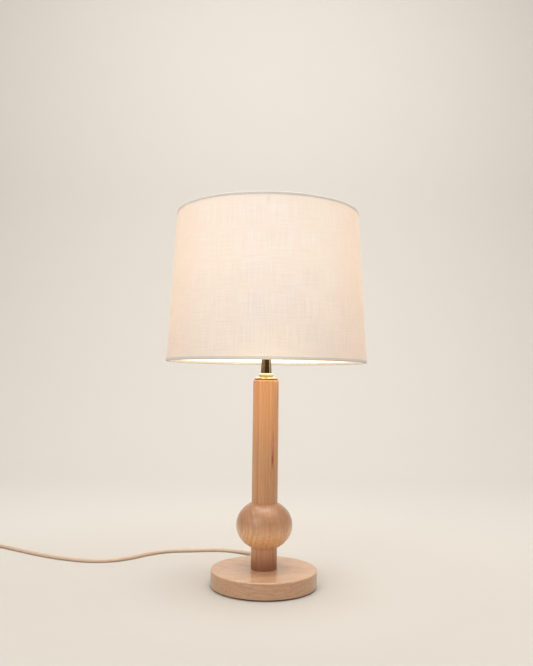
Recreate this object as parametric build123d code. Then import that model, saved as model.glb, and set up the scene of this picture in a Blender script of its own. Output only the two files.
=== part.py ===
from build123d import *
import os
from math import acos, asin, atan2, cos, degrees, hypot, pi, radians, sin, sqrt, tan

# Table lamp with a drum shade on a harp. Millimetres, +Z up, the front faces -Y.
# The origin is the centre of the felt pad's underside.

# ---- driving dimensions ----
DOWEL_R = 19.05  # a 1.5 inch dowel makes the column and the lower post
BASE_R = 77.4
PAD_R = 74.0
PAD_T = 2.0
BASE_TOP_Z = 24.7
BASE_EDGE_R = 1.6
BALL_R = 41.2
BALL_HALF = 35.9  # the ball is turned a little flat: this is half its full height
BALL_Z = 87.6
COLUMN_TOP_Z = 299.3
COLUMN_EDGE_R = 3.0
RECESS_R = 28.0  # the pocket under the base that holds the nut and the leads
RECESS_TOP_Z = 19.0
PIPE_R = 4.95  # 1/8 IP lamp pipe
PIPE_BORE_R = 3.6
PIPE_TOP_Z = 340.0
WOOD_BORE_R = 5.3
FIT = 0.05  # radial clearance of metal parts on the pipe and of every running fit

RING_R = 17.6  # check ring on top of the column
RING_T = 4.0
RING_LIP_T = 2.0  # the ring's thin edge, below its sloping shoulder
LOCKNUT_R = 10.4
LOCKNUT_T = 5.4
NECK_FOOT_R = 8.0
NECK_TOP_R = 6.75
SADDLE_Z = 332.0
SADDLE_T = 2.0
PEG_X = 30.0  # where the saddle's pegs stand, left and right
PEG_R = 2.2
PEG_Z = 345.0
PEG_LENGTH = 12.0
SOCKET_R = 16.8
SOCKET_TOP_Z = 398.0
SWITCH_Z = 362.0
SWITCH_STEM_R = 2.5

BULB_R = 30.0
BULB_Z = 450.5
BULB_NECK_R = 13.6
BULB_NECK_Z = 403.0
BULB_CAP_R = 13.0
BULB_TIP_Z = 372.4

HARP_WIRE_R = 1.75
HARP_TOP_Z = 530.0
SEAT_R = 10.0
STUD_R = 3.15

SHADE_FOOT_R = 148.4
SHADE_FOOT_Z = 324.4
SHADE_TOP_R = 135.3
SHADE_TOP_Z = 547.2
TRIM_T = 0.45
TRIM_HIGH = 4.0
FABRIC_T = 0.8
LINER_T = 0.6
SKIN_GAP = 0.05
RING_WIRE_R = 1.5
ARM_WIRE_R = 1.25
HUB_R = 15.0
HUB_T = 1.5

CORD_R = 3.0
EXIT_Y = 99.5
EXIT_Z = 12.0
FLOOR_Z = CORD_R + 0.05  # the cord's middle where it lies on the floor
TIE_T = 0.7
COIL_OUT_R = 42.0  # middle of the outermost turn
COIL_IN_R = 25.5  # middle of the innermost turn

# The free cord from the strain relief to its coil, point by point.
CORD_ROUTE = [
    (0, EXIT_Y, EXIT_Z),
    (0, 122, EXIT_Z),
    (-5, 150, 8.4),
    (-22, 176, 4.3),
    (-48, 195, FLOOR_Z),
    (-80, 204, FLOOR_Z),
    (-122, 196.5, FLOOR_Z),
    (-163, 192, FLOOR_Z),
    (-195, 170, FLOOR_Z),
    (-221, 138, FLOOR_Z),
    (-250, 119, FLOOR_Z),
    (-289, 116.5, FLOOR_Z),
    (-336, 133.5, FLOOR_Z),
    (-380, 157, FLOOR_Z),
    (-426, 188, FLOOR_Z),
    (-468, 216, FLOOR_Z),
    (-491, 232, FLOOR_Z + TIE_T),
]


# ---- helpers ----
def rod(radius, low, high, x=0.0, y=0.0):
    """An upright cylinder between two heights."""
    up = (Align.CENTER, Align.CENTER, Align.MIN)
    return Pos(x, y, low) * Cylinder(radius, high - low, align=up)


def tube(radius, bore, low, high, x=0.0, y=0.0):
    """An upright cylinder with a hole along it."""
    return rod(radius, low, high, x, y) - rod(bore, low - 1, high + 1, x, y)


def turned(points):
    """A solid of revolution about Z from the (radius, height) corners of its half section."""
    section = Plane.XZ * Polyline(*points, close=True)
    return revolve(make_face(section), Axis.Z)


def along_y(radius, low, high, z, x=0.0):
    """A cylinder along Y between two places."""
    return Pos(x, (low + high) / 2, z) * Rot(90, 0, 0) * Cylinder(radius, high - low)


def along_x(radius, low, high, z, y=0.0):
    """A cylinder along X between two places."""
    return Pos((low + high) / 2, y, z) * Rot(0, 90, 0) * Cylinder(radius, high - low)


def wire(points, radii, radius):
    """A round wire along straight runs joined by arcs."""
    path = FilletPolyline(*points, radius=radii)
    start = Plane(path @ 0, z_dir=path % 0)
    return sweep(start * Circle(radius), path=path)


def widest_radii(points):
    """For each corner, the largest radius that its two runs have room for."""
    radii = []
    for before, corner, after in zip(points, points[1:], points[2:]):
        run_in = Vector(*corner) - Vector(*before)
        run_out = Vector(*after) - Vector(*corner)
        half_turn = radians(run_in.get_angle(run_out)) / 2
        radii.append(0.45 * min(run_in.length, run_out.length) / tan(half_turn))
    return radii


def free_cord(name, points):
    """A cord's tube, with its radii and its volume told on the way."""
    radii = widest_radii(points)
    solid = wire(points, radii, CORD_R)
    length = FilletPolyline(*points, radius=radii).length
    expected = pi * CORD_R**2 * length
    print(name, "radii", [round(r) for r in radii], "length", round(length))
    print(name, "volume", round(solid.volume), "section x length", round(expected))
    return solid


def shade_r(z):
    """The radius of the shade's outer cone at a height."""
    share = (z - SHADE_FOOT_Z) / (SHADE_TOP_Z - SHADE_FOOT_Z)
    return SHADE_FOOT_R + share * (SHADE_TOP_R - SHADE_FOOT_R)


# ---- wooden body ----
def felt_pad():
    return rod(PAD_R, 0, PAD_T)


def base_disc():
    disc = tube(BASE_R, WOOD_BORE_R, PAD_T, BASE_TOP_Z)
    rim = disc.edges().filter_by(GeomType.CIRCLE).group_by(SortBy.RADIUS)[-1]
    disc = fillet(rim.sort_by(Axis.Z)[-1], BASE_EDGE_R)
    rim = disc.edges().filter_by(GeomType.CIRCLE).group_by(SortBy.RADIUS)[-1]
    disc = fillet(rim.sort_by(Axis.Z)[0], BASE_EDGE_R / 2)
    disc -= rod(RECESS_R, PAD_T - 1, RECESS_TOP_Z)
    return disc - along_y(5.2, RECESS_R - 4, BASE_R + 4, EXIT_Z)


def ball_flat():
    """Half the height of the ball between its two flats, which are as wide as the dowel."""
    return BALL_HALF * sqrt(1 - (DOWEL_R / BALL_R) ** 2)


def lower_post():
    return tube(DOWEL_R, WOOD_BORE_R, BASE_TOP_Z, BALL_Z - ball_flat())


def ball():
    flat = ball_flat()
    edge = degrees(asin(flat / BALL_HALF))
    side = EllipticalCenterArc((0, BALL_Z), BALL_R, BALL_HALF, -edge, arc_size=2 * edge)
    bore = [(WOOD_BORE_R, BALL_Z + flat), (WOOD_BORE_R, BALL_Z - flat)]
    section = make_face(Plane.XZ * (side + Polyline(side @ 1, *bore, side @ 0)))
    return revolve(section, Axis.Z)


def column():
    dowel = tube(DOWEL_R, WOOD_BORE_R, BALL_Z + ball_flat(), COLUMN_TOP_Z)
    rim = dowel.edges().filter_by(GeomType.CIRCLE).group_by(SortBy.RADIUS)[-1]
    return fillet(rim.sort_by(Axis.Z)[-1], COLUMN_EDGE_R)


# ---- pipe and fasteners ----
NUT_TOP_Z = RECESS_TOP_Z - 1.5
NUT_T = 5.0
RING_TOP_Z = COLUMN_TOP_Z + RING_T
LOCKNUT_TOP_Z = RING_TOP_Z + LOCKNUT_T


def lamp_pipe():
    return tube(PIPE_R, PIPE_BORE_R, NUT_TOP_Z - NUT_T - 1, PIPE_TOP_Z)


def base_washer():
    return tube(16.0, PIPE_R + FIT, NUT_TOP_Z, RECESS_TOP_Z)


def base_nut():
    hexagon = RegularPolygon(radius=8.0, side_count=6, major_radius=False)
    nut = Pos(0, 0, NUT_TOP_Z - NUT_T) * extrude(hexagon, NUT_T)
    return nut - rod(PIPE_R + FIT, 0, RECESS_TOP_Z)


def check_ring():
    bevel = 0.7
    crown_r = LOCKNUT_R + 1.0
    points = [
        (PIPE_R + FIT, COLUMN_TOP_Z),
        (RING_R - 2 * bevel, COLUMN_TOP_Z),
        (RING_R, COLUMN_TOP_Z + bevel),
        (RING_R, COLUMN_TOP_Z + RING_LIP_T - bevel),
        (RING_R - bevel, COLUMN_TOP_Z + RING_LIP_T),
        (crown_r + bevel, RING_TOP_Z - bevel / 2),
        (crown_r, RING_TOP_Z),
        (PIPE_R + FIT, RING_TOP_Z),
    ]
    return turned(points)


def locknut():
    bevel = 0.7
    points = [
        (PIPE_R + FIT, RING_TOP_Z),
        (LOCKNUT_R, RING_TOP_Z),
        (LOCKNUT_R, LOCKNUT_TOP_Z - 2 * bevel),
        (LOCKNUT_R - bevel, LOCKNUT_TOP_Z - bevel / 2),
        (LOCKNUT_R - 2 * bevel, LOCKNUT_TOP_Z),
        (PIPE_R + FIT, LOCKNUT_TOP_Z),
    ]
    return turned(points)


def neck():
    points = [
        (PIPE_R + FIT, LOCKNUT_TOP_Z),
        (NECK_FOOT_R, LOCKNUT_TOP_Z),
        (NECK_TOP_R, SADDLE_Z),
        (PIPE_R + FIT, SADDLE_Z),
    ]
    return turned(points)


# ---- socket ----
def harp_saddle():
    saddle = rod(11.0, SADDLE_Z, SADDLE_Z + SADDLE_T)
    strap = Box(2 * PEG_X + SADDLE_T, 8.0, SADDLE_T)
    saddle += Pos(0, 0, SADDLE_Z + SADDLE_T / 2) * strap
    for side in (-1, 1):
        upright = Box(SADDLE_T, 8.0, PEG_Z - SADDLE_Z)
        saddle += Pos(side * PEG_X, 0, (SADDLE_Z + PEG_Z) / 2) * upright
        saddle += rod(PEG_R, PEG_Z - 3, PEG_Z + PEG_LENGTH, side * PEG_X)
    return saddle - rod(PIPE_R + FIT, SADDLE_Z - 1, SADDLE_Z + SADDLE_T + 1)


def socket_cap():
    low = SADDLE_Z + SADDLE_T
    points = [
        (PIPE_R + FIT, low),
        (11.0, low),
        (16.0, low + 4),
        (SOCKET_R + 1.2, low + 9),
        (SOCKET_R + 1.2, low + 18),
        (SOCKET_R + FIT, low + 18),
        (SOCKET_R + FIT, low + 9.4),
        (15.4, low + 5),
        (10.4, low + 1),
        (PIPE_R + FIT, low + 1),
    ]
    return turned(points)


def switch_hole():
    """The hole in the socket's wall for the switch stem."""
    return along_y(3.6, -SOCKET_R - 2, -8, SWITCH_Z)


SHELL_T = 0.8
SHELL_FOOT_Z = SADDLE_Z + SADDLE_T + 13


def socket_shell():
    shell = tube(SOCKET_R, SOCKET_R - SHELL_T, SHELL_FOOT_Z, SOCKET_TOP_Z)
    bead = Pos(0, 0, SOCKET_TOP_Z - 12) * Torus(SOCKET_R - 0.2, 0.9)
    shell += bead - rod(SOCKET_R - SHELL_T, SOCKET_TOP_Z - 20, SOCKET_TOP_Z)
    return shell - switch_hole()


def socket_liner():
    liner = tube(15.6, 15.0, SHELL_FOOT_Z + 4, SOCKET_TOP_Z + 1)
    return liner - switch_hole()


BODY_Z = SHELL_FOOT_Z + 6
BODY_TOP_Z = 370.0
BODY_R = 14.4
FLAT_X = 12.0  # the flats on the body where the terminal screws sit
TERMINAL_Z = BODY_Z + 5


def socket_body():
    body = rod(BODY_R, BODY_Z, BODY_TOP_Z)
    for side in (-1, 1):
        flat = Box(2 * (BODY_R - FLAT_X), 3 * BODY_R, 10.0)
        body -= Pos(side * BODY_R, 0, TERMINAL_Z) * flat
        body -= along_x(1.65, side * 10.5 - 3.5, side * 10.5 + 3.5, TERMINAL_Z)
    return body - along_y(SWITCH_STEM_R + FIT, -BODY_R - 1, -6, SWITCH_Z)


def terminal_screws():
    screws = []
    for side in (-1, 1):
        head = along_x(3.0, *sorted((side * FLAT_X, side * 13.8)), TERMINAL_Z)
        shank = along_x(1.6, *sorted((side * 8.0, side * FLAT_X)), TERMINAL_Z)
        slot = Pos(side * 13.8, 0, TERMINAL_Z) * Box(1.4, 7.0, 0.8)
        screws.append(head + shank - slot)
    return Compound(children=screws)


def screw_shell():
    return tube(14.2, BULB_CAP_R + 0.4, BODY_TOP_Z, SOCKET_TOP_Z - 4)


def centre_contact():
    return rod(4.0, BODY_TOP_Z, BODY_TOP_Z + 1.2)


def switch_stem():
    return along_y(SWITCH_STEM_R, -24.0, -8.0, SWITCH_Z)


def switch_knob():
    knob = along_y(5.0, -34.0, -20.0, SWITCH_Z)
    wing = Pos(0, -29.0, SWITCH_Z) * Box(15.0, 10.0, 3.2)
    knob += wing
    return knob - along_y(SWITCH_STEM_R, -24.0, -18.0, SWITCH_Z)


# ---- bulb ----
def bulb_cap():
    low = BULB_TIP_Z + 5
    return tube(BULB_CAP_R, BULB_CAP_R - 0.6, low, BULB_NECK_Z - 3)


def bulb_insulator():
    low = BULB_TIP_Z + 1.6
    points = [
        (0, low),
        (4.5, low),
        (BULB_CAP_R - 0.8, low + 3.4),
        (BULB_CAP_R - 0.8, low + 6),
        (0, low + 6),
    ]
    return turned(points)


def bulb_tip():
    return rod(3.2, BULB_TIP_Z, BULB_TIP_Z + 1.6)


def bulb_outline(round_r, neck_r, foot_z):
    """The half section of a bulb: a neck, a cone that touches the globe, and the globe."""
    far = hypot(neck_r, BULB_Z - BULB_NECK_Z)
    to_neck = atan2(BULB_NECK_Z - BULB_Z, neck_r)
    touch = to_neck + acos(round_r / far)
    meet = (round_r * cos(touch), BULB_Z + round_r * sin(touch))
    half = (touch + pi / 2) / 2
    middle = (round_r * cos(half), BULB_Z + round_r * sin(half))
    low = [(0, foot_z), (neck_r - 1.6, foot_z), (neck_r - 1.6, BULB_NECK_Z - 2)]
    sides = Polyline(*low, (neck_r, BULB_NECK_Z), meet)
    globe = ThreePointArc(meet, middle, (0, BULB_Z + round_r))
    axis = Line((0, BULB_Z + round_r), (0, foot_z))
    return make_face(Plane.XZ * (sides + globe + axis))


def bulb_glass():
    wall = 1.0
    foot = BULB_NECK_Z - 8
    outside = revolve(bulb_outline(BULB_R, BULB_NECK_R, foot), Axis.Z)
    inside = revolve(bulb_outline(BULB_R - wall, BULB_NECK_R - wall, foot + 2), Axis.Z)
    return outside - inside


def bulb_led_mount():
    low = BULB_NECK_Z - 6
    return rod(6.0, low, BULB_Z - 18) + Pos(0, 0, BULB_Z - 18) * Sphere(6.0)


# ---- harp ----
def harp():
    foot_z = PEG_Z + 0.3
    half = [
        (PEG_X, 0, foot_z + PEG_LENGTH),
        (PEG_X, 0, 376),
        (58, 0, 404),
        (58, 0, 480),
        (24, 0, HARP_TOP_Z),
    ]
    points = half + [(-x, y, z) for x, y, z in reversed(half)]
    radii = [30, 60, 80, 22]
    bow = wire(points, radii + radii[::-1], HARP_WIRE_R)
    for side in (-1, 1):
        foot = rod(3.2, foot_z, foot_z + PEG_LENGTH + 2, side * PEG_X)
        socket = rod(PEG_R + FIT, foot_z - 1, PEG_Z + PEG_LENGTH + 0.3, side * PEG_X)
        bow += foot
        bow -= socket
    return bow


def ferrule(side):
    """The sleeve that covers the joint of a harp foot and its peg."""
    low = PEG_Z + 0.3
    sleeve = tube(4.6, 3.2 + FIT, low, low + PEG_LENGTH, side * PEG_X)
    lip = tube(5.2, 3.2 + FIT, low + PEG_LENGTH - 1.4, low + PEG_LENGTH, side * PEG_X)
    return sleeve + lip


FLANGE_Z = HARP_TOP_Z + 3.0
FLANGE_T = 1.3


def harp_seat():
    half = 6.0
    seat = along_x(3.6, -half, half, HARP_TOP_Z)
    seat += Pos(0, 0, HARP_TOP_Z + 2) * Box(2 * half, 6.0, 4.0)
    seat += rod(SEAT_R, FLANGE_Z, FLANGE_Z + FLANGE_T)
    return seat - along_x(HARP_WIRE_R + FIT, -half - 1, half + 1, HARP_TOP_Z)


HUB_Z = FLANGE_Z + FLANGE_T + 0.2
FINIAL_Z = HUB_Z + HUB_T + 0.2
STUD_TOP_Z = 549.0


def harp_stud():
    return rod(STUD_R, FLANGE_Z + FLANGE_T, STUD_TOP_Z)


def finial():
    ball_z = FINIAL_Z + 15.5
    foot = turned([
        (0, FINIAL_Z),
        (7.5, FINIAL_Z),
        (7.5, FINIAL_Z + 1.6),
        (4.6, FINIAL_Z + 3.6),
        (4.0, FINIAL_Z + 7.0),
        (5.4, FINIAL_Z + 9.0),
        (0, FINIAL_Z + 9.0),
    ])
    knob = foot + Pos(0, 0, ball_z) * Sphere(8.0)
    knob += rod(2.6, ball_z + 6, ball_z + 9.6)
    knob += Pos(0, 0, ball_z + 10.4) * Sphere(3.0)
    return knob - rod(STUD_R + FIT, FINIAL_Z - 1, STUD_TOP_Z + 0.6)


# ---- shade ----
def cone_wall(outer, inner, low, high):
    """A ring of the shade's cone between two depths behind its outer face."""
    points = [
        (shade_r(low) - outer, low),
        (shade_r(high) - outer, high),
        (shade_r(high) - inner, high),
        (shade_r(low) - inner, low),
    ]
    return turned(points)


FABRIC_AT = TRIM_T + SKIN_GAP
LINER_AT = FABRIC_AT + FABRIC_T + SKIN_GAP
WIRE_AT = LINER_AT + LINER_T + SKIN_GAP + RING_WIRE_R
TRIM_DEPTH = WIRE_AT + RING_WIRE_R + SKIN_GAP + TRIM_T
EDGE = TRIM_T + SKIN_GAP


def shade_fabric():
    low, high = SHADE_FOOT_Z + EDGE, SHADE_TOP_Z - EDGE
    return cone_wall(FABRIC_AT, FABRIC_AT + FABRIC_T, low, high)


def shade_liner():
    low, high = SHADE_FOOT_Z + EDGE, SHADE_TOP_Z - EDGE
    return cone_wall(LINER_AT, LINER_AT + LINER_T, low, high)


def ring_wire(z):
    return Pos(0, 0, z) * Torus(shade_r(z) - WIRE_AT, RING_WIRE_R)


def bottom_ring():
    return ring_wire(SHADE_FOOT_Z + EDGE + SKIN_GAP + RING_WIRE_R)


TOP_RING_Z = SHADE_TOP_Z - EDGE - SKIN_GAP - RING_WIRE_R


def top_ring():
    return ring_wire(TOP_RING_Z)


def trim(edge, inside):
    """The tape folded over a rim: two legs and the fold that joins them."""
    low, high = sorted((edge, inside))
    fold_low, fold_high = sorted((edge, edge + TRIM_T * (1 if inside > edge else -1)))
    outer_leg = cone_wall(0, TRIM_T, low, high)
    inner_leg = cone_wall(TRIM_DEPTH - TRIM_T, TRIM_DEPTH, low, high)
    fold = cone_wall(0, TRIM_DEPTH, fold_low, fold_high)
    return outer_leg + fold + inner_leg


def bottom_trim():
    return trim(SHADE_FOOT_Z, SHADE_FOOT_Z + TRIM_HIGH)


def top_trim():
    return trim(SHADE_TOP_Z, SHADE_TOP_Z - TRIM_HIGH)


def spider():
    """The washer on the harp's seat and its three arms, which turn up to the top ring."""
    hub = tube(HUB_R, 5.5, HUB_Z, HUB_Z + HUB_T)
    arm_z = HUB_Z + HUB_T + ARM_WIRE_R - 0.2
    end_r = shade_r(TOP_RING_Z) - WIRE_AT
    ring_under_z = TOP_RING_Z - RING_WIRE_R
    arm = wire(
        [(9.5, 0, arm_z), (end_r, 0, arm_z), (end_r, 0, ring_under_z + 0.2)],
        [5.0],
        ARM_WIRE_R,
    )
    for turn in (-90, 30, 150):
        hub += Rot(0, 0, turn) * arm
    return hub


# ---- leads and cord ----
LEAD_END_Y = 24.0


def cord_inside():
    return along_y(CORD_R, LEAD_END_Y, EXIT_Y, EXIT_Z)


def inner_wires():
    wires = []
    for side in (-1, 1):
        x = side * 1.5
        points = [
            (x, LEAD_END_Y, EXIT_Z),
            (x, 18, EXIT_Z),
            (x, 10, 6),
            (x, 0, 6),
            (x, 0, PIPE_TOP_Z + 2),
            (side * 7.5, 0, BODY_Z - 6),
            (side * 7.5, 0, BODY_Z),
        ]
        wires.append(wire(points, [6, 8, 5.5, 3.0, 3.0], 1.2))
    return Compound(children=wires)


def strain_relief():
    relief = along_y(5.0, 66.0, 78.0, EXIT_Z)
    relief += along_y(7.5, BASE_R + 0.05, 79.4, EXIT_Z)
    boot = Cone(5.6, 3.9, EXIT_Y - 79.4)
    relief += Pos(0, (EXIT_Y + 79.4) / 2, EXIT_Z) * Rot(-90, 0, 0) * boot
    return relief - along_y(CORD_R + FIT, 60.0, EXIT_Y + 2, EXIT_Z)


def coil_centre():
    """The coil's middle: to the left of the cord's last run, by the outermost turn's radius."""
    before, end = Vector(*CORD_ROUTE[-2]), Vector(*CORD_ROUTE[-1])
    run = Vector(end.X - before.X, end.Y - before.Y, 0).normalized()
    return end.X - COIL_OUT_R * run.Y, end.Y + COIL_OUT_R * run.X


COIL_X, COIL_Y = coil_centre()
COIL_TOP_Z = TIE_T + 4 * CORD_R


def ring_section(outer, inner, low, high):
    return [(inner, low), (outer, low), (outer, high), (inner, high)]


def cord_coil():
    outer, inner = COIL_OUT_R + CORD_R, COIL_IN_R - CORD_R
    coil = tube(outer, inner, TIE_T, COIL_TOP_Z)
    rims = coil.edges().filter_by(GeomType.CIRCLE)
    return Pos(COIL_X, COIL_Y, 0) * fillet(rims, CORD_R - 0.2)


def coil_tie():
    """A strap round the coil's bundle, at the side where no end leaves it."""
    gap = 0.1
    outer, inner = COIL_OUT_R + CORD_R + gap, COIL_IN_R - CORD_R - gap
    high = COIL_TOP_Z + gap
    around = ring_section(outer + TIE_T, inner - TIE_T, 0, high + TIE_T)
    window = ring_section(outer, inner, TIE_T - 0.02, high)
    angle = 16
    loops = []
    for points in (around, window):
        face = make_face(Plane.XZ * Polyline(*points, close=True))
        loops.append(revolve(face, Axis.Z, revolution_arc=angle))
    return Pos(COIL_X, COIL_Y, 0) * Rot(0, 0, -52) * (loops[0] - loops[1])


PLUG_X = COIL_X - 34.0
PLUG_Y = COIL_Y - 76.0
PLUG_Z = 6.6
LEAD_ROUTE = [
    (COIL_X - 41.0, COIL_Y, TIE_T + 3 * CORD_R),
    (COIL_X - 41.3, COIL_Y - 22, TIE_T + 3 * CORD_R),
    (COIL_X - 37.6, COIL_Y - 43, 8.2),
    (PLUG_X, COIL_Y - 62, PLUG_Z),
    (PLUG_X, PLUG_Y, PLUG_Z),
]


def plug_body():
    """A moulded two-pin plug that lies on its side: a tapered boot, then the grip."""
    boot = Cone(4.0, 6.0, 12.0)
    body = Pos(PLUG_X, PLUG_Y - 6.0, PLUG_Z) * Rot(90, 0, 0) * boot
    grip = Pos(PLUG_X, PLUG_Y - 24.0, PLUG_Z) * Box(24.0, 26.0, 2 * PLUG_Z)
    return body + fillet(grip.edges(), 3.0)


def plug_pins():
    pins = []
    for side in (-1, 1):
        blade = Pos(PLUG_X + side * 6.35, PLUG_Y - 45.0, PLUG_Z) * Box(1.5, 16.0, 6.3)
        pins.append(blade)
    return Compound(children=pins)


def cord():
    return free_cord("cord", CORD_ROUTE)


def plug_lead():
    return free_cord("plug_lead", LEAD_ROUTE)


PARTS = {
    "felt_pad": felt_pad,
    "base_disc": base_disc,
    "lower_post": lower_post,
    "ball": ball,
    "column": column,
    "lamp_pipe": lamp_pipe,
    "base_washer": base_washer,
    "base_nut": base_nut,
    "check_ring": check_ring,
    "locknut": locknut,
    "neck": neck,
    "harp_saddle": harp_saddle,
    "socket_cap": socket_cap,
    "socket_shell": socket_shell,
    "socket_liner": socket_liner,
    "socket_body": socket_body,
    "terminal_screws": terminal_screws,
    "screw_shell": screw_shell,
    "centre_contact": centre_contact,
    "switch_stem": switch_stem,
    "switch_knob": switch_knob,
    "bulb_cap": bulb_cap,
    "bulb_insulator": bulb_insulator,
    "bulb_tip": bulb_tip,
    "bulb_glass": bulb_glass,
    "bulb_led_mount": bulb_led_mount,
    "harp": harp,
    "ferrule_left": lambda: ferrule(-1),
    "ferrule_right": lambda: ferrule(1),
    "harp_seat": harp_seat,
    "harp_stud": harp_stud,
    "finial": finial,
    "shade_fabric": shade_fabric,
    "shade_liner": shade_liner,
    "bottom_ring": bottom_ring,
    "top_ring": top_ring,
    "bottom_trim": bottom_trim,
    "top_trim": top_trim,
    "spider": spider,
    "cord_inside": cord_inside,
    "inner_wires": inner_wires,
    "strain_relief": strain_relief,
    "cord": cord,
    "cord_coil": cord_coil,
    "coil_tie": coil_tie,
    "plug_lead": plug_lead,
    "plug_body": plug_body,
    "plug_pins": plug_pins,
}

os.makedirs("parts", exist_ok=True)
for node, make in PARTS.items():
    export_step(make(), f"parts/{node}.step")
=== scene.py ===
import math

import bpy
from mathutils import Matrix, Vector


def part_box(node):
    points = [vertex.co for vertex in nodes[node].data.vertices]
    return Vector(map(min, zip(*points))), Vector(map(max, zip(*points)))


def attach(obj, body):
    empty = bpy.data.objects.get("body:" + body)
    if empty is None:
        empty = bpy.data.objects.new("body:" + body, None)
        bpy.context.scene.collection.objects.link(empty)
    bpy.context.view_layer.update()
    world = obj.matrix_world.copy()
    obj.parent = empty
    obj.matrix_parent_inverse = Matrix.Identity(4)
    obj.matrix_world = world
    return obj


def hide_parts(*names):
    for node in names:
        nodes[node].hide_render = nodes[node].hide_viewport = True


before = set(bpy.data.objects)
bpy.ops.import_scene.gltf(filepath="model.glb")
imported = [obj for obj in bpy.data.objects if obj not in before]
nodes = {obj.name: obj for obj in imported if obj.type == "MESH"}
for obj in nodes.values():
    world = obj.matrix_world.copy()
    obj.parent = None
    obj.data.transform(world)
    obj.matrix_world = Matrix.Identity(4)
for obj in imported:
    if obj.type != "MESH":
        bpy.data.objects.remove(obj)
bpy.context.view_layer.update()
scene = bpy.context.scene
MM = 0.001

# ---- places taken from the frame ----
SHADE_LOW, SHADE_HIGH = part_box("shade_fabric")
BOTTOM_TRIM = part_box("bottom_trim")
TOP_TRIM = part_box("top_trim")
PAD_LOW, PAD_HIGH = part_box("felt_pad")
COIL_LOW, COIL_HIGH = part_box("cord_coil")
TIE_LOW, TIE_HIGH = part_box("coil_tie")
TIE_MID = (TIE_LOW + TIE_HIGH) / 2
PLUG_LOW, PLUG_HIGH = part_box("plug_body")
RING_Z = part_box("check_ring")[0].z
NUT_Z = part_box("locknut")[0].z
FOOT_R = SHADE_HIGH.x
TOP_R = TOP_TRIM[1].x - 0.5 * MM
LINEN_T = 0.8 * MM

# ---- the camera ----
EYE = (-0.0003, -1.04467, 0.29535)
EYE_TURN = 94.01  # degrees up from looking straight down
EYE_ROLL = 0.72
LENS = 37.95
SENSOR = 36.0

# ---- the cord ----
CORD_R = 3.0 * MM
FLOOR = 3.05 * MM  # the height of the cord's middle where it lies on the floor
TIE_T = 0.7 * MM  # what the strap under the coil lifts it by
EXIT = (0.0, 0.0995, 0.012)
CORD_ROUTE = [
    EXIT,
    (0.0, 0.122, 0.012),
    (-0.005, 0.150, 0.0084),
    (-0.022, 0.176, 0.0043),
    (-0.048, 0.195, FLOOR),
    (-0.080, 0.204, FLOOR),
    (-0.122, 0.1965, FLOOR),
    (-0.163, 0.192, FLOOR),
    (-0.195, 0.170, FLOOR),
    (-0.221, 0.138, FLOOR),
    (-0.250, 0.119, FLOOR),
    (-0.289, 0.1165, FLOOR),
    (-0.336, 0.1335, FLOOR),
    (-0.380, 0.157, FLOOR),
    (-0.426, 0.188, FLOOR),
    (-0.468, 0.216, FLOOR),
    (-0.491, 0.232, FLOOR + TIE_T),
]
COIL_OUT_R = 42.0 * MM
COIL_IN_R = 25.5 * MM
COIL_MID = (COIL_LOW + COIL_HIGH) / 2
COIL_END = math.pi + 5 * 2 * math.pi  # the angle, past full turns, where the plug's lead leaves
STEP_FROM = 0.47  # the shares of the coil's length where it starts and ends its step up
STEP_TO = 0.53


def camera():
    """The photograph's viewpoint: level with the column's top, looking slightly up."""
    data = bpy.data.cameras.new("camera")
    data.lens = LENS
    data.sensor_width = SENSOR
    eye = bpy.data.objects.new("camera", data)
    turn = Matrix.Rotation(math.radians(EYE_TURN), 4, "X")
    roll = Matrix.Rotation(math.radians(EYE_ROLL), 4, "Z")
    eye.matrix_world = Matrix.Translation(EYE) @ turn @ roll
    scene.collection.objects.link(eye)
    scene.camera = eye


def coil_points():
    """The coil's turns: inwards on the floor, a step up, and outwards on top."""
    start = math.atan2(CORD_ROUTE[-1][1] - COIL_MID.y, CORD_ROUTE[-1][0] - COIL_MID.x)
    per_turn = 16
    count = round((COIL_END - start) / (2 * math.pi) * per_turn)
    low = FLOOR + TIE_T
    high = low + 2 * CORD_R
    points = []
    for i in range(1, count + 1):
        share = i / count
        angle = start + share * (COIL_END - start)
        inwards = min(share / STEP_FROM, 1.0)
        outwards = max((share - STEP_TO) / (1.0 - STEP_TO), 0.0)
        radius = COIL_OUT_R - (COIL_OUT_R - COIL_IN_R) * (inwards - outwards)
        climb = min(max((share - STEP_FROM) / (STEP_TO - STEP_FROM), 0.0), 1.0)
        z = low + (high - low) * climb * climb * (3 - 2 * climb)
        x = COIL_MID.x + radius * math.cos(angle)
        y = COIL_MID.y + radius * math.sin(angle)
        points.append((x, y, z))
    return points


def lead_points():
    """From the coil's last turn down to the back of the plug."""
    x, y = COIL_MID.x, COIL_MID.y
    plug_z = (PLUG_LOW.z + PLUG_HIGH.z) / 2
    return [
        (x - 0.0413, y - 0.022, FLOOR + TIE_T + 2 * CORD_R),
        (x - 0.0376, y - 0.043, 0.0082),
        (x - 0.034, y - 0.062, plug_z),
        (x - 0.034, y - 0.076, plug_z),
    ]


def cord():
    points = CORD_ROUTE + coil_points() + lead_points()
    data = bpy.data.curves.new("lamp_cord", "CURVE")
    data.dimensions = "3D"
    spline = data.splines.new("NURBS")
    spline.points.add(len(points) - 1)
    for point, place in zip(spline.points, points):
        point.co = (*place, 1.0)
    spline.order_u = 3
    spline.use_endpoint_u = True
    spline.resolution_u = 8
    data.bevel_depth = CORD_R
    data.bevel_resolution = 5
    data.use_fill_caps = True
    data.materials.append(cord_jacket())
    piece = bpy.data.objects.new("lamp_cord", data)
    scene.collection.objects.link(piece)
    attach(piece, "lamp")
    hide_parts("cord", "cord_coil", "plug_lead")
    return piece


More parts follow.
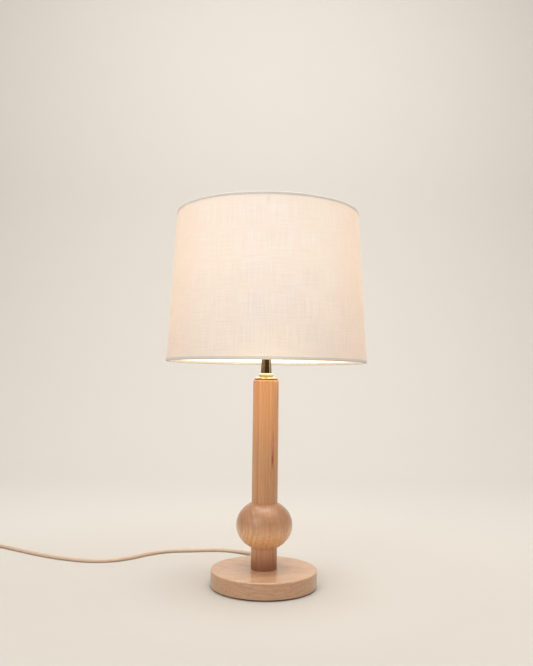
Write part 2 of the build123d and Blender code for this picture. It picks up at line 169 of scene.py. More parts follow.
# ---- materials: a small wrapper round a material's node tree ----
class Paint:
    """One material, built up from procedural nodes in the part's own coordinates."""

    def __init__(self, name, color, roughness, metallic=0.0):
        self.material = bpy.data.materials.new(name)
        self.material.use_nodes = True
        self.tree = self.material.node_tree
        self.surface = self.tree.nodes["Principled BSDF"]
        self.set("Base Color", (*color, 1.0))
        self.set("Roughness", roughness)
        self.set("Metallic", metallic)
        self.material.diffuse_color = (*color, 1.0)

    def set(self, socket, value):
        """A constant, or another node's output, on the surface shader's socket."""
        target = self.surface.inputs[socket]
        if isinstance(value, bpy.types.NodeSocket):
            self.tree.links.new(value, target)
        else:
            target.default_value = value

    def add(self, kind, links, **settings):
        node = self.tree.nodes.new("ShaderNode" + kind)
        for key, value in settings.items():
            setattr(node, key, value)
        for socket, value in links.items():
            if isinstance(value, bpy.types.NodeSocket):
                self.tree.links.new(value, node.inputs[socket])
            else:
                node.inputs[socket].default_value = value
        return node

    def coords(self):
        return self.add("TexCoord", {}).outputs["Object"]

    def mapped(self, vector, scale=(1, 1, 1), shift=(0, 0, 0), turn=(0, 0, 0)):
        turn = [math.radians(a) for a in turn]
        links = {"Vector": vector, "Location": shift, "Rotation": turn, "Scale": scale}
        return self.add("Mapping", links).outputs[0]

    def noise(self, vector, scale, detail=2.0, rough=0.5, distort=0.0):
        links = {"Vector": vector, "Scale": scale, "Detail": detail}
        links.update({"Roughness": rough, "Distortion": distort})
        return self.add("TexNoise", links)

    def line_noise(self, value, scale, detail=2.0, rough=0.5):
        """Noise along one number, for bands of uneven width."""
        links = {"W": value, "Scale": scale, "Detail": detail, "Roughness": rough}
        return self.add("TexNoise", links, noise_dimensions="1D").outputs["Fac"]

    def ramp(self, value, *stops):
        """Stops are (place, grey or colour)."""
        node = self.add("ValToRGB", {"Fac": value})
        elements = node.color_ramp.elements
        while len(elements) < len(stops):
            elements.new(0.5)
        for element, (place, tone) in zip(elements, stops):
            element.position = place
            tone = tone if isinstance(tone, tuple) else (tone, tone, tone)
            element.color = (*tone, 1.0)
        return node.outputs["Color"]

    def mix(self, share, a, b, blend="MIX"):
        node = self.add("Mix", {}, data_type="RGBA", blend_type=blend)
        for socket, value in ((0, share), (6, a), (7, b)):
            if isinstance(value, bpy.types.NodeSocket):
                self.tree.links.new(value, node.inputs[socket])
            elif socket == 0:
                node.inputs[0].default_value = value
            else:
                node.inputs[socket].default_value = (*value, 1.0)
        return node.outputs[2]

    def math(self, operation, a, b=0.0):
        return self.add("Math", {0: a, 1: b}, operation=operation).outputs[0]

    def vector_math(self, operation, a, b):
        return self.add("VectorMath", {0: a, 1: b}, operation=operation).outputs[0]

    def length(self, vector):
        return self.add("VectorMath", {0: vector}, operation="LENGTH").outputs["Value"]

    def axes(self, vector):
        return self.add("SeparateXYZ", {"Vector": vector}).outputs

    def ranged(self, value, low, high, start=0.0, end=1.0, kind="LINEAR"):
        """The value's way from low to high, given as a number from start to end."""
        links = {0: value, 1: low, 2: high, 3: start, 4: end}
        return self.add("MapRange", links, interpolation_type=kind).outputs[0]

    def near(self, vector, place, reach, edge=0.6):
        """One inside an ellipsoid round a place, falling to nought at its reach."""
        scale = [1.0 / r for r in reach]
        shift = [-p / r for p, r in zip(place, reach)]
        away = self.length(self.mapped(vector, scale=scale, shift=shift))
        return self.ramp(away, (edge, 1.0), (1.0, 0.0))

    def bump(self, height, depth, strength=1.0, under=None):
        """Depth is in metres."""
        links = {"Height": height, "Distance": depth, "Strength": strength}
        if under is not None:
            links["Normal"] = under
        return self.add("Bump", links).outputs["Normal"]


WOOD_LIGHT = (0.60, 0.355, 0.205)
WOOD_MID = (0.46, 0.235, 0.115)
WOOD_DARK = (0.30, 0.130, 0.058)
WOOD_WARM = (0.52, 0.245, 0.105)
WOOD_KNOT = (0.31, 0.058, 0.022)
# the tone that painted shade darkens the wood towards
SHADED_WOOD = (0.26, 0.085, 0.036)


def wood(name, stain, turn=(0, 0, 0), pith=(0, 0, 0), marks=(), painted_shade=None, wobble=0.004,
         ring=420.0, figure=1.0, streak=0.38, gloss=0.4):
    """Pale, fine-grained wood. Turn lays the grain, which runs along Z, another way.

    Stain is a tint over the whole, figure is how strongly its rings show, and streak its dark
    lines. Pith is where the tree's middle would be. Marks are (place, reach, depth) of darker
    knots and streaks. The argument after marks, (height, height, depth), is painted shade: the
    wood darkens from the one height to the other.
    """
    paint = Paint(name, (0.50, 0.28, 0.15), 0.42)
    place = paint.coords()
    grain = paint.mapped(paint.mapped(place, turn=turn), shift=pith)
    bend = paint.noise(paint.mapped(grain, scale=(1, 1, 0.35)), 22.0, 3.0).outputs["Color"]
    bend = paint.vector_math("SUBTRACT", bend, (0.5, 0.5, 0.5))
    bend = paint.vector_math("MULTIPLY", bend, (wobble, wobble, 0.0))
    bent = paint.vector_math("ADD", grain, bend)
    radius = paint.length(paint.vector_math("MULTIPLY", bent, (1, 1, 0)))
    rings = paint.line_noise(radius, ring, 3.0, 0.7)
    rings = paint.ramp(rings, (0.38, 0.0), (0.52, 0.45), (0.64, 1.0))
    fibre = paint.noise(paint.mapped(bent, scale=(1, 1, 0.018)), 900.0, 3.0, 0.65).outputs["Fac"]
    fibre = paint.ramp(fibre, (0.36, 0.0), (0.64, 1.0))
    pores = paint.noise(paint.mapped(bent, scale=(1, 1, 0.10)), 1500.0, 1.0).outputs["Fac"]
    pores = paint.ramp(pores, (0.64, 0.0), (0.74, 1.0))
    cloud = paint.noise(paint.mapped(place, scale=(1, 1, 0.5)), 30.0, 2.0).outputs["Fac"]
    cloud = paint.ramp(cloud, (0.35, 0.0), (0.68, 1.0))
    lines = paint.noise(paint.mapped(bent, scale=(1, 1, 0.012)), 420.0, 2.0, 0.5).outputs["Fac"]
    lines = paint.ramp(lines, (0.56, 0.0), (0.64, 1.0))
    color = paint.mix(paint.math("MULTIPLY", rings, figure), WOOD_LIGHT, WOOD_MID)
    color = paint.mix(paint.math("MULTIPLY", fibre, 0.42), color, WOOD_DARK)
    color = paint.mix(paint.math("MULTIPLY", lines, streak), color, WOOD_DARK)
    color = paint.mix(paint.math("MULTIPLY", cloud, 0.35), color, WOOD_WARM)
    color = paint.mix(paint.math("MULTIPLY", pores, 0.45), color, WOOD_DARK)
    for middle, reach, depth in marks:
        mark = paint.near(place, middle, reach, 0.45)
        ragged = paint.noise(paint.mapped(bent, scale=(1, 1, 0.12)), 900.0, 2.0).outputs["Fac"]
        mark = paint.math("MULTIPLY", mark, paint.ramp(ragged, (0.40, 0.35), (0.54, 1.0)))
        color = paint.mix(paint.math("MULTIPLY", mark, depth), color, WOOD_KNOT)
    color = paint.mix(1.0, color, stain, "MULTIPLY")
    # painted shade: the wood darkens from the one height to the other
    if painted_shade:
        lit_z, shaded_z, depth = painted_shade
        share = paint.ranged(paint.axes(place)[2], lit_z, shaded_z, 0.0, depth, "SMOOTHSTEP")
        color = paint.mix(share, color, SHADED_WOOD)
    paint.set("Base Color", color)
    paint.set("Roughness", paint.ramp(fibre, (0.0, 0.36), (1.0, 0.50)))
    paint.set("Coat Weight", gloss)
    paint.set("Coat Roughness", 0.25)
    grooves = paint.math("ADD", fibre, paint.math("MULTIPLY", pores, 1.5))
    paint.set("Normal", paint.bump(grooves, -0.00006, 0.5))
    return paint.material


# how far painted shade darkens a metal part's foot
FOOT_SHADE = 0.85


def metal(name, color, roughness, streaks=(1, 1, 1), wear=0.25, dark=(0.10, 0.05, 0.02),
          shaded_foot=None):
    """Metal with fine machining lines in its gloss, and faint stains.

    The argument after dark, (height, height), is painted shade at the foot: below the first height the
    metal is darkened, fading out by the second.
    """
    paint = Paint(name, color, roughness, 1.0)
    place = paint.coords()
    lines = paint.noise(paint.mapped(place, scale=streaks), 1400.0, 3.0, 0.6).outputs["Fac"]
    stain = paint.noise(place, 95.0, 3.0, 0.6).outputs["Fac"]
    stain = paint.ramp(stain, (0.45, 0.0), (0.75, 1.0))
    color = paint.mix(paint.math("MULTIPLY", stain, wear), color, dark)
    # painted shade: the metal darkens below the first height
    if shaded_foot:
        share = paint.ranged(paint.axes(place)[2], shaded_foot[0], shaded_foot[1], FOOT_SHADE, 0.0)
        color = paint.mix(share, color, dark)
    paint.set("Base Color", color)
    low, high = 0.75 * roughness, 1.35 * roughness
    paint.set("Roughness", paint.ramp(lines, (0.3, low), (0.7, high)))
    paint.set("Normal", paint.bump(lines, 0.00002, 0.4))
    return paint.material


def angle_round(paint, place):
    """The angle round Z from the lamp's front."""
    x, y, z = paint.axes(place)
    return paint.math("ARCTAN2", x, paint.math("MULTIPLY", y, -1.0))


def neck_metal():
    """Dark antique brass, drawn lengthways, with painted reflections: long bands of light and dark
    tone, and a narrow pale painted highlight, run up the neck.
    """
    paint = Paint("neck_metal", (0.20, 0.11, 0.045), 0.22, 1.0)
    place = paint.coords()
    share = paint.ranged(angle_round(paint, place), -math.pi, math.pi)
    dark, brown, pale = (0.040, 0.024, 0.010), (0.20, 0.142, 0.070), (0.58, 0.47, 0.30)
    # painted reflections: dark and brown bands and a narrow pale painted highlight, set by the angle
    # round the neck
    bands = [(0.0, brown), (0.12, dark), (0.27, dark), (0.36, brown), (0.43, brown), (0.475, dark),
             (0.600, dark), (0.612, pale), (0.640, pale), (0.652, dark), (0.85, brown)]
    tone = paint.ramp(share, *bands)
    fine = paint.noise(paint.mapped(place, scale=(1, 1, 0.02)), 1600.0, 2.0).outputs["Fac"]
    paint.set("Base Color", paint.mix(paint.math("MULTIPLY", fine, 0.35), tone, (0.06, 0.03, 0.012)))
    paint.set("Roughness", paint.ramp(fine, (0.3, 0.22), (0.7, 0.36)))
    paint.set("Normal", paint.bump(fine, 0.00002, 0.4))
    return paint.material


def moulded(name, color, roughness, grain=900.0, depth=0.00004, spread=0.12):
    """Moulded plastic or rubber: a fine orange-peel skin, and a little dust in its tone."""
    paint = Paint(name, color, roughness)
    place = paint.coords()
    skin = paint.noise(place, grain, 2.0).outputs["Fac"]
    cloud = paint.noise(place, 60.0, 3.0).outputs["Fac"]
    cloud = paint.ramp(cloud, (0.4, 0.0), (0.7, 1.0))
    darker = tuple(0.72 * c for c in color)
    paint.set("Base Color", paint.mix(paint.math("MULTIPLY", cloud, spread * 4), color, darker))
    low, high = 0.85 * roughness, min(1.0, 1.2 * roughness)
    paint.set("Roughness", paint.ramp(skin, (0.3, low), (0.7, high)))
    paint.set("Normal", paint.bump(skin, depth, 0.5))
    return paint.material


def around(paint, place, radius):
    """(distance round the shade from its front, height), both in metres."""
    return paint.math("MULTIPLY", angle_round(paint, place), radius), paint.axes(place)[2]


def weave(paint, across, up, pitch):
    """Plain weave: the height of its threads, one over the other, from 0 to 1."""
    warp = paint.math("MULTIPLY", across, 2 * math.pi / pitch)
    weft = paint.math("MULTIPLY", up, 2 * math.pi / pitch)
    warp = paint.math("SINE", warp)
    weft = paint.math("SINE", weft)
    over = paint.math("MULTIPLY", warp, weft)
    return paint.math("MULTIPLY_ADD", over, 0.5)


def slubs(paint, across, up, scale, long, detail=3.0):
    """Uneven yarns: noise drawn out along one way of the cloth."""
    links = {"X": paint.math("MULTIPLY", across, long[0]), "Y": paint.math("MULTIPLY", up, long[1])}
    flat = paint.add("CombineXYZ", links).outputs[0]
    return paint.noise(flat, scale, detail, 0.62).outputs["Fac"]


LINEN_GLOW = 0.45
ARM_TURNS = [math.radians(a) for a in (-90, 30, 150)]
ARM_SHADOW_Z = 0.5365


def linen():
    """The shade's linen, lit through from the bulb behind it: that light is painted on as a glow."""
    paint = Paint("linen", (0.60, 0.54, 0.48), 0.92)
    place = paint.coords()
    across, up = around(paint, place, 0.145)
    weft = slubs(paint, across, up, 1.0, (26.0, 760.0))
    warp = slubs(paint, across, up, 1.0, (900.0, 24.0))
    threads = paint.math("ADD", paint.math("MULTIPLY", weft, 0.45), paint.math("MULTIPLY", warp, 0.55))
    cloud = slubs(paint, across, up, 1.0, (22.0, 22.0), 2.0)
    cloud = paint.ramp(cloud, (0.38, 0.0), (0.66, 1.0))
    open_cloth = paint.ramp(threads, (0.40, 0.0), (0.60, 1.0))
    tone = paint.mix(open_cloth, (0.600, 0.550, 0.505), (0.645, 0.605, 0.565))
    paint.set("Base Color", tone)
    share = paint.ranged(up, SHADE_LOW.z, SHADE_HIGH.z)
    # painted light: the glow is dimmer towards the bottom and brightest a little above the middle
    glow = paint.ramp(share, (0.0, (0.63, 0.57, 0.57)), (0.25, (0.80, 0.79, 0.80)),
                      (0.62, (1.0, 1.0, 1.0)), (1.0, (0.94, 0.94, 0.94)))
    # painted shade: the glow turns darker and warmer towards the shade's left and right sides
    x = paint.axes(place)[0]
    side = paint.math("DIVIDE", paint.math("ABSOLUTE", x), FOOT_R)
    tint = paint.ramp(side, (0.10, (0.96, 0.775, 0.63)), (0.55, (0.94, 0.71, 0.53)),
                      (0.90, (0.92, 0.53, 0.25)))
    glow = paint.mix(1.0, glow, tint, "MULTIPLY")
    # painted light: warm patches in the glow
    glow = paint.mix(paint.math("MULTIPLY", cloud, 0.22), glow, (1.0, 0.58, 0.32))
    light = paint.mix(open_cloth, (0.88, 0.86, 0.84), (1.0, 1.0, 1.0))
    glow = paint.mix(1.0, glow, light, "MULTIPLY")
    for turn in ARM_TURNS:
        arm = (TOP_R * math.cos(turn), TOP_R * math.sin(turn), ARM_SHADOW_Z)
        shadow = paint.near(place, arm, (0.0030, 0.0030, 0.0075), 0.15)
        glow = paint.mix(paint.math("MULTIPLY", shadow, 0.30), glow, (0.20, 0.20, 0.22))
    paint.set("Emission Color", glow)
    paint.set("Emission Strength", LINEN_GLOW)
    paint.set("Sheen Weight", 0.12)
    paint.set("Sheen Roughness", 0.5)
    pattern = weave(paint, across, up, 0.0011)
    height = paint.math("ADD", threads, paint.math("MULTIPLY", pattern, 0.35))
    paint.set("Normal", paint.bump(height, 0.00022, 0.6))
    return paint.material


def tape():
    """Fine twill tape over the shade's rims."""
    paint = Paint("tape", (0.70, 0.66, 0.60), 0.85)
    across, up = around(paint, paint.coords(), 0.14)
    slant = paint.math("ADD", across, up)
    ribs = paint.math("SINE", paint.math("MULTIPLY", slant, 2 * math.pi / 0.0009))
    cloud = slubs(paint, across, up, 1.0, (60.0, 300.0), 2.0)
    paint.set("Base Color", paint.mix(cloud, (0.62, 0.585, 0.54), (0.76, 0.72, 0.67)))
    paint.set("Sheen Weight", 0.2)
    paint.set("Normal", paint.bump(ribs, 0.00008, 0.5))
    return paint.material


def liner():
    """The stiff sheet that the linen is glued to, white and faintly mottled, with a painted glow of
    the bulb's light on it.
    """
    paint = Paint("liner", (0.93, 0.90, 0.84), 0.55)
    place = paint.coords()
    mottle = paint.noise(place, 240.0, 3.0).outputs["Fac"]
    paint.set("Base Color", paint.mix(mottle, (0.90, 0.86, 0.77), (0.96, 0.93, 0.87)))
    paint.set("Normal", paint.bump(mottle, 0.00006, 0.4))
    # painted light: a faint glow of the bulb's light on the liner
    paint.set("Emission Color", (1.0, 0.94, 0.86, 1.0))
    paint.set("Emission Strength", 0.36)
    return paint.material


BULB_GLOW = 7.5


def opal():
    """Frosted glass, lit from inside."""
    paint = Paint("opal", (0.95, 0.92, 0.86), 0.35)
    place = paint.coords()
    frost = paint.noise(place, 1500.0, 2.0).outputs["Fac"]
    up = paint.axes(place)[2]
    low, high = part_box("bulb_glass")
    share = paint.ranged(up, low.z, high.z)
    glow = paint.ramp(share, (0.1, (0.75, 0.42, 0.20)), (0.45, (1.0, 0.74, 0.46)))
    paint.set("Emission Color", glow)
    paint.set("Emission Strength", BULB_GLOW)
    paint.set("Normal", paint.bump(frost, 0.00003, 0.5))
    return paint.material


def felt():
    paint = Paint("felt", (0.045, 0.028, 0.020), 0.95)
    place = paint.coords()
    hairs = paint.noise(place, 900.0, 4.0, 0.7, 1.5).outputs["Fac"]
    paint.set("Base Color", paint.mix(hairs, (0.03, 0.018, 0.012), (0.085, 0.055, 0.038)))
    paint.set("Sheen Weight", 0.5)
    paint.set("Normal", paint.bump(hairs, 0.0004, 0.8))
    return paint.material


def card():
    paint = Paint("card", (0.45, 0.36, 0.26), 0.8)
    place = paint.coords()
    fibres = paint.noise(paint.mapped(place, scale=(1, 1, 3)), 420.0, 4.0, 0.7, 1.0).outputs["Fac"]
    paint.set("Base Color", paint.mix(fibres, (0.36, 0.28, 0.19), (0.54, 0.45, 0.34)))
    paint.set("Normal", paint.bump(fibres, 0.00008, 0.5))
    return paint.material


def strap():
    """Hook-and-loop strap with a soft nap."""
    paint = Paint("strap", (0.62, 0.53, 0.41), 0.9)
    place = paint.coords()
    nap = paint.noise(place, 2200.0, 3.0, 0.7).outputs["Fac"]
    paint.set("Base Color", paint.mix(nap, (0.50, 0.42, 0.32), (0.70, 0.61, 0.48)))
    paint.set("Sheen Weight", 0.4)
    paint.set("Normal", paint.bump(nap, 0.0003, 0.8))
    return paint.material


def cord_jacket():
    """Smooth cream jacket with a fine skin and faint scuffs."""
    return moulded("cord_jacket", (0.61, 0.455, 0.335), 0.38, 700.0, 0.00005, 0.05)


def dress(node, material):
    """Puts one material on all of an object's slots."""
    data = nodes[node].data if isinstance(node, str) else node.data
    data.materials.clear()
    data.materials.append(material)


def smooth(obj, angle=35.0):
    """Smooth shading that keeps corners sharper than the angle."""
    for face in obj.data.polygons:
        face.use_smooth = True
    obj.data.set_sharp_from_angle(angle=math.radians(angle))


# ---- pieces built here ----
def shade_radius(z):
    """The linen's outer radius at a height, between the two rims of its CAD solid."""
    share = (z - SHADE_LOW.z) / (SHADE_HIGH.z - SHADE_LOW.z)
    return FOOT_R + share * (TOP_R - FOOT_R)


def mesh_piece(name, verts, faces, body, material):
    data = bpy.data.meshes.new(name)
    data.from_pydata(verts, [], faces)
    data.validate()
    piece = bpy.data.objects.new(name, data)
    scene.collection.objects.link(piece)
    dress(piece, material)
    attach(piece, body)
    return piece


def ring_faces(rows, around_count):
    """Faces of a closed loop of rows, each a closed ring of points."""
    faces = []
    for r in range(rows):
        for a in range(around_count):
            b = (a + 1) % around_count
            s = (r + 1) % rows
            faces.append((r * around_count + a, r * around_count + b,
                          s * around_count + b, s * around_count + a))
    return faces


def turned_loop(name, section, count, body, material, shift=None):
    """A closed section of (radius, height) swept once round Z. Shift moves a point by its angle."""
    verts = []
    for radius, z in section:
        for a in range(count):
            angle = 2 * math.pi * a / count
            dr, dz = shift(angle, radius, z) if shift else (0.0, 0.0)
            r = radius + dr
            verts.append((r * math.sin(angle), -r * math.cos(angle), z + dz))
    return mesh_piece(name, verts, ring_faces(len(section), count), body, material)


def linen_cover():
    """The linen, with its glued lap up the back and threads' unevenness in its face."""
    rows = 40
    lap_half = 7.0 * MM
    lap_edge = 0.6 * MM
    lap_step = 0.5 * MM
    low, high = SHADE_LOW.z, SHADE_HIGH.z
    heights = [low + (high - low) * r / rows for r in range(rows + 1)]
    outer = [(shade_radius(z), z) for z in heights]
    inner = [(shade_radius(z) - LINEN_T, z) for z in reversed(heights)]

    def lap(angle, radius, z):
        behind = (angle - math.pi) * radius
        if radius < shade_radius(z) - LINEN_T / 2:
            return 0.0, 0.0
        edge = min(max((lap_half - abs(behind)) / lap_edge, 0.0), 1.0)
        ripple = 0.00010 * math.sin(9 * angle + 40 * z) * math.sin(5 * angle - 23 * z)
        return lap_step * edge + ripple, 0.0

    piece = turned_loop("linen_cover", outer + inner, 720, "shade", linen(), lap)
    smooth(piece, 50)
    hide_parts("shade_fabric")
    return piece


def folded_tape(name, node, rim_z, inside_z):
    """Tape folded over a rim and its wire: a soft U section with small puckers."""
    thick = 0.45 * MM
    depth = 5.4 * MM
    bend = 1.6 * MM
    steps = 7
    bend_steps = 8
    way = 1 if inside_z > rim_z else -1
    tall = abs(inside_z - rim_z)
    slope = (FOOT_R - TOP_R) / (SHADE_HIGH.z - SHADE_LOW.z)

    def cone(z):
        return BOTTOM_TRIM[1].x - slope * (z - BOTTOM_TRIM[0].z)

    def leg(inset, facing):
        """One leg of the U with its quarter bend, from the leg's end to the rim."""
        face, back = [], []
        for i in range(steps + 1):
            z = rim_z + way * (tall - (tall - bend) * i / steps)
            face.append((cone(z) - inset, z))
            back.append((cone(z) - inset - facing * thick, z))
        for i in range(1, bend_steps + 1):
            turn = math.pi / 2 * i / bend_steps
            across, along = 1 - math.cos(turn), 1 - math.sin(turn)
            z = rim_z + way * bend * along
            face.append((cone(z) - inset - facing * bend * across, z))
            z = rim_z + way * (thick + (bend - thick) * along)
            back.append((cone(z) - inset - facing * (thick + (bend - thick) * across), z))
        return face, back

    outer, inner = leg(0.0, 1)
    far_outer, far_inner = leg(depth, -1)
    outer += far_outer[::-1]
    inner += far_inner[::-1]
    section = outer + inner[::-1]
    if way < 0:
        section = section[::-1]

    def pucker(angle, radius, z):
        far = min(abs(z - rim_z) / tall, 1.0)
        return 0.00004 * math.sin(61 * angle) * far, 0.00007 * math.sin(23 * angle) * far

    piece = turned_loop(name, section, 480, "shade", TAPE, pucker)
    smooth(piece, 60)
    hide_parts(node)
    return piece


def felt_foot():
    """The felt disc under the base, with a soft cut edge."""
    low, high = PAD_LOW, PAD_HIGH
    radius = high.x
    soft = 0.5 * MM
    hole_r = 2.0 * MM
    flat_r = radius - 30.0 * MM
    top = high.z - 0.02 * MM
    section = [(hole_r, low.z), (flat_r, low.z), (radius - soft, low.z), (radius, low.z + soft),
               (radius, high.z - soft), (radius - soft, top), (flat_r, top), (hole_r, top)]

    def fray(angle, r, z):
        if r < radius - 2.0 * MM:
            return 0.0, 0.0
        return 0.00015 * math.sin(47 * angle) + 0.0001 * math.sin(113 * angle) - 0.00025, 0.0

    piece = turned_loop("felt_foot", section, 360, "lamp", felt(), fray)
    smooth(piece, 60)
    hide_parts("felt_pad")
    return piece


def coil_strap():
    """A hook-and-loop strap drawn round the coil, its free end pressed down over its start."""
    half_wide = 4.7 * MM
    half_thick = 0.32 * MM
    corner = 2.4 * MM
    inner = 21.6 * MM
    outer = COIL_OUT_R + CORD_R + half_thick + 0.1 * MM
    low = half_thick + 0.02 * MM
    high = TIE_T + 4 * CORD_R + half_thick + 0.1 * MM
    start = inner + 0.55 * (outer - inner)
    end = inner + 0.22 * (outer - inner)
    over = high + 2.1 * half_thick
    line = [(start, high), (inner + 2 * corner, high)]
    bends = [(inner + corner, high - corner), (inner + corner, low + corner),
             (outer - corner, low + corner), (outer - corner, high - corner)]
    for quarter, (r, z) in enumerate(bends):
        for i in range(7):
            turn = math.radians(90 + 90 * quarter + 15 * i)
            line.append((r + corner * math.cos(turn), z + corner * math.sin(turn)))
    line += [(start + 2.0 * MM, over - 0.1 * MM), (start, over), ((start + end) / 2, over)]
    line += [(end + 1.0 * MM, over), (end, over - 0.05 * MM)]
    section = [(-1.0, -0.6), (-0.96, -1.0), (0.0, -1.0), (0.96, -1.0), (1.0, -0.6),
               (1.0, 0.6), (0.96, 1.0), (0.0, 1.0), (-0.96, 1.0), (-1.0, 0.6)]
    count = len(section)
    turn = math.atan2(TIE_MID.y - COIL_MID.y, TIE_MID.x - COIL_MID.x)
    out = Vector((math.cos(turn), math.sin(turn), 0.0))
    side = Vector((-math.sin(turn), math.cos(turn), 0.0))
    up = Vector((0.0, 0.0, 1.0))
    foot = Vector((COIL_MID.x, COIL_MID.y, 0.0))
    verts = []
    for i, (r, z) in enumerate(line):
        before = line[max(i - 1, 0)]
        after = line[min(i + 1, len(line) - 1)]
        way = Vector((after[0] - before[0], after[1] - before[1])).normalized()
        narrow = 0.8 if i == len(line) - 1 else 1.0
        for across, through in section:
            r_off = r + through * half_thick * way.y
            z_off = z - through * half_thick * way.x
            verts.append(foot + out * r_off + up * z_off + side * across * half_wide * narrow)
    faces = []
    for i in range(len(line) - 1):
        for a in range(count):
            b = (a + 1) % count
            faces.append((i * count + a, i * count + b, (i + 1) * count + b, (i + 1) * count + a))
    faces.append(tuple(range(count))[::-1])
    faces.append(tuple(range(len(verts) - count, len(verts))))
    piece = mesh_piece("coil_strap", verts, faces, "lamp", strap())
    smooth(piece, 40)
    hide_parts("coil_tie")
    return piece


# ---- stage and light ----
def backdrop():
    """A wide pale floor that curves up into a plain wall, clear when it is seen from below."""
    front, back, bend, height, half = -7.0, 2.2, 1.2, 4.5, 7.0
    profile = [(front, 0.0), (back - bend, 0.0)]
    bend_steps = 16
    for i in range(1, bend_steps + 1):
        turn = math.pi / 2 * i / bend_steps
        profile.append((back - bend + bend * math.sin(turn), bend * (1 - math.cos(turn))))
    profile.append((back, height))
    verts = [(x, y, z) for x in (half, -half) for y, z in profile]
    n = len(profile)
    faces = [(i, i + 1, n + i + 1, n + i) for i in range(n - 1)]
    data = bpy.data.meshes.new("backdrop")
    data.from_pydata(verts, [], faces)
    floor = bpy.data.objects.new("backdrop", data)
    scene.collection.objects.link(floor)
    paint = Paint("backdrop", (0.57, 0.54, 0.50), 0.85)
    speckle = paint.noise(paint.coords(), 6.0, 2.0).outputs["Fac"]
    paint.set("Base Color", paint.mix(speckle, (0.565, 0.535, 0.495), (0.575, 0.545, 0.505)))
    below = paint.add("NewGeometry", {}).outputs["Backfacing"]
    paint.set("Alpha", paint.math("SUBTRACT", 1.0, below))
    dress(floor, paint.material)
    for face in data.polygons:
        face.use_smooth = True


def hang_light(name, data, place, target, power, color):
    """Puts a light in its place, turned to its target."""
    data.energy = power
    data.color = color
    lamp = bpy.data.objects.new(name, data)
    lamp.location = place
    lamp.rotation_euler = (Vector(target) - Vector(place)).to_track_quat("-Z", "Y").to_euler()
    scene.collection.objects.link(lamp)
    return lamp


def soft_light(name, place, target, size, power, color):
    data = bpy.data.lights.new(name, "AREA")
    data.shape = "DISK"
    data.size = size
    hang_light(name, data, place, target, power, color)


def spot_light(name, place, target, spread, power, color):
    """A narrow light with a soft edge, which leaves no highlight."""
    data = bpy.data.lights.new(name, "SPOT")
    data.spot_size = math.radians(spread)
    data.spot_blend = 1.0
    data.shadow_soft_size = 0.05
    lamp = hang_light(name, data, place, target, power, color)
    lamp.visible_glossy = False


def studio():
    world = bpy.data.worlds.new("studio")
    world.use_nodes = True
    sky = world.node_tree.nodes["Background"]
    sky.inputs["Color"].default_value = (1.0, 0.985, 0.955, 1.0)
    sky.inputs["Strength"].default_value = 0.62
    scene.world = world
    middle = (0.0, 0.0, 0.3)
    soft_light("front", (-1.45, -2.05, 1.4), middle, 1.9, 13.5, (1.0, 0.98, 0.95))
    soft_light("top", (0.25, -0.2, 2.4), middle, 2.4, 33.0, (1.0, 0.965, 0.915))
    soft_light("wall", (0.0, 0.3, 2.2), (0.0, 2.2, 1.2), 2.6, 34.0, (1.0, 0.985, 0.96))
    spot_light("neck_glow", (0.0, -0.6, 0.22), (0.0, 0.0, 0.285), 21.0, 4.6, (1.0, 0.86, 0.45))
    scene.view_settings.view_transform = "Standard"


camera()
lamp_cord = cord()
coil_strap()
TAPE = tape()
folded_tape("bottom_tape", "bottom_trim", BOTTOM_TRIM[0].z, BOTTOM_TRIM[1].z)
folded_tape("top_tape", "top_trim", TOP_TRIM[1].z, TOP_TRIM[0].z)
linen_cover()
felt_foot()

BRASS = (0.92, 0.70, 0.34)
COLUMN_MARKS = [
    ((0.0108, -0.0157, 0.184), (0.0021, 0.0040, 0.020), 1.0),
    ((0.0114, -0.0153, 0.209), (0.0008, 0.0040, 0.022), 0.70),
    ((0.0096, -0.0164, 0.206), (0.0007, 0.0040, 0.012), 0.60),
]
BALL_MARKS = [((0.0315, -0.0255, 0.085), (0.0050, 0.0080, 0.0065), 0.30)]
column_wood = wood("column_wood", (1.11, 1.02, 0.86), pith=(0.045, 0.030, 0), marks=COLUMN_MARKS,
                   streak=0.20, gloss=0.55)
# painted shade: the ball darkens above its middle, and its lower half keeps the light of the floor's
# bounce
ball_wood = wood("ball_wood", (1.47, 1.51, 1.40), pith=(-0.085, 0.010, 0), marks=BALL_MARKS,
                 painted_shade=(0.076, 0.099, 0.57), wobble=0.012, ring=330.0, gloss=0.9)
# painted shade: the post darkens towards its foot, in the ball's shadow
post_wood = wood("post_wood", (1.09, 0.99, 0.91), pith=(0.050, 0.030, 0), painted_shade=(0.056, 0.026, 0.95),
                 streak=0.60)
# darker down the base's side below its top edge: painted shade, and partly the darker end grain
base_wood = wood("base_wood", (1.20, 1.33, 1.46), turn=(0, 86, 10), pith=(0.14, 0.03, 0),
                 painted_shade=(0.0247, 0.022, 0.29), wobble=0.010, ring=300.0, figure=0.5, gloss=0.7)
polished = metal("polished_brass", BRASS, 0.20)
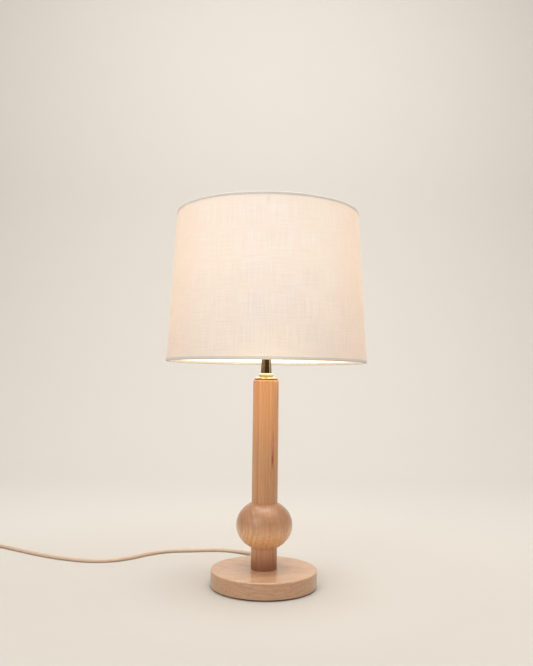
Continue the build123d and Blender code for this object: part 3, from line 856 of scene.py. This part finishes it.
# painted shade: the check ring's lower edge is darkened where the shadow gap over the wood falls
ring_brass = metal("ring_brass", BRASS, 0.22, dark=(0.05, 0.02, 0.008),
                   shaded_foot=(RING_Z + 1.3 * MM, RING_Z + 1.8 * MM))
# painted shade: the locknut darkens to amber at its foot, where it meets the check ring
bright = metal("bright_brass", (0.98, 0.90, 0.66), 0.40, dark=(0.55, 0.36, 0.12),
               shaded_foot=(NUT_Z + 1.6 * MM, NUT_Z + 2.4 * MM))
satin = metal("satin_brass", (0.74, 0.53, 0.25), 0.30)
zinc = metal("zinc", (0.58, 0.58, 0.60), 0.34, dark=(0.25, 0.25, 0.26))
drawn = metal("bulb_metal", (0.78, 0.77, 0.74), 0.30, (1, 1, 20), dark=(0.4, 0.4, 0.4))
phenolic = moulded("phenolic", (0.030, 0.022, 0.018), 0.30)
knob_plastic = moulded("knob_plastic", (0.018, 0.015, 0.013), 0.22)
coated = moulded("coated_wire", (0.52, 0.50, 0.46), 0.42, 1400.0)
insulation = moulded("insulation", (0.55, 0.52, 0.42), 0.45)
rubber = moulded("relief_rubber", (0.60, 0.43, 0.29), 0.55, 1100.0, 0.00008)
plug_plastic = moulded("plug_plastic", (0.62, 0.46, 0.31), 0.50, 1100.0, 0.00008)
opal_glass = opal()
FINISH = {
    column_wood: ["column"],
    ball_wood: ["ball"],
    post_wood: ["lower_post"],
    base_wood: ["base_disc"],
    bright: ["locknut"],
    ring_brass: ["check_ring"],
    polished: ["finial", "harp_stud", "ferrule_left", "ferrule_right"],
    satin: ["harp", "harp_saddle", "harp_seat", "socket_cap", "socket_shell", "screw_shell",
            "centre_contact", "terminal_screws", "plug_pins"],
    neck_metal(): ["neck"],
    zinc: ["lamp_pipe", "base_washer", "base_nut"],
    drawn: ["bulb_cap", "bulb_tip"],
    phenolic: ["socket_body", "switch_stem", "bulb_insulator"],
    knob_plastic: ["switch_knob"],
    coated: ["spider", "top_ring", "bottom_ring"],
    insulation: ["inner_wires"],
    lamp_cord.data.materials[0]: ["cord_inside"],
    rubber: ["strain_relief"],
    plug_plastic: ["plug_body"],
    card(): ["socket_liner"],
    liner(): ["shade_liner"],
    opal_glass: ["bulb_glass", "bulb_led_mount"],
}
for material, names in FINISH.items():
    for name in names:
        dress(name, material)
backdrop()
studio()
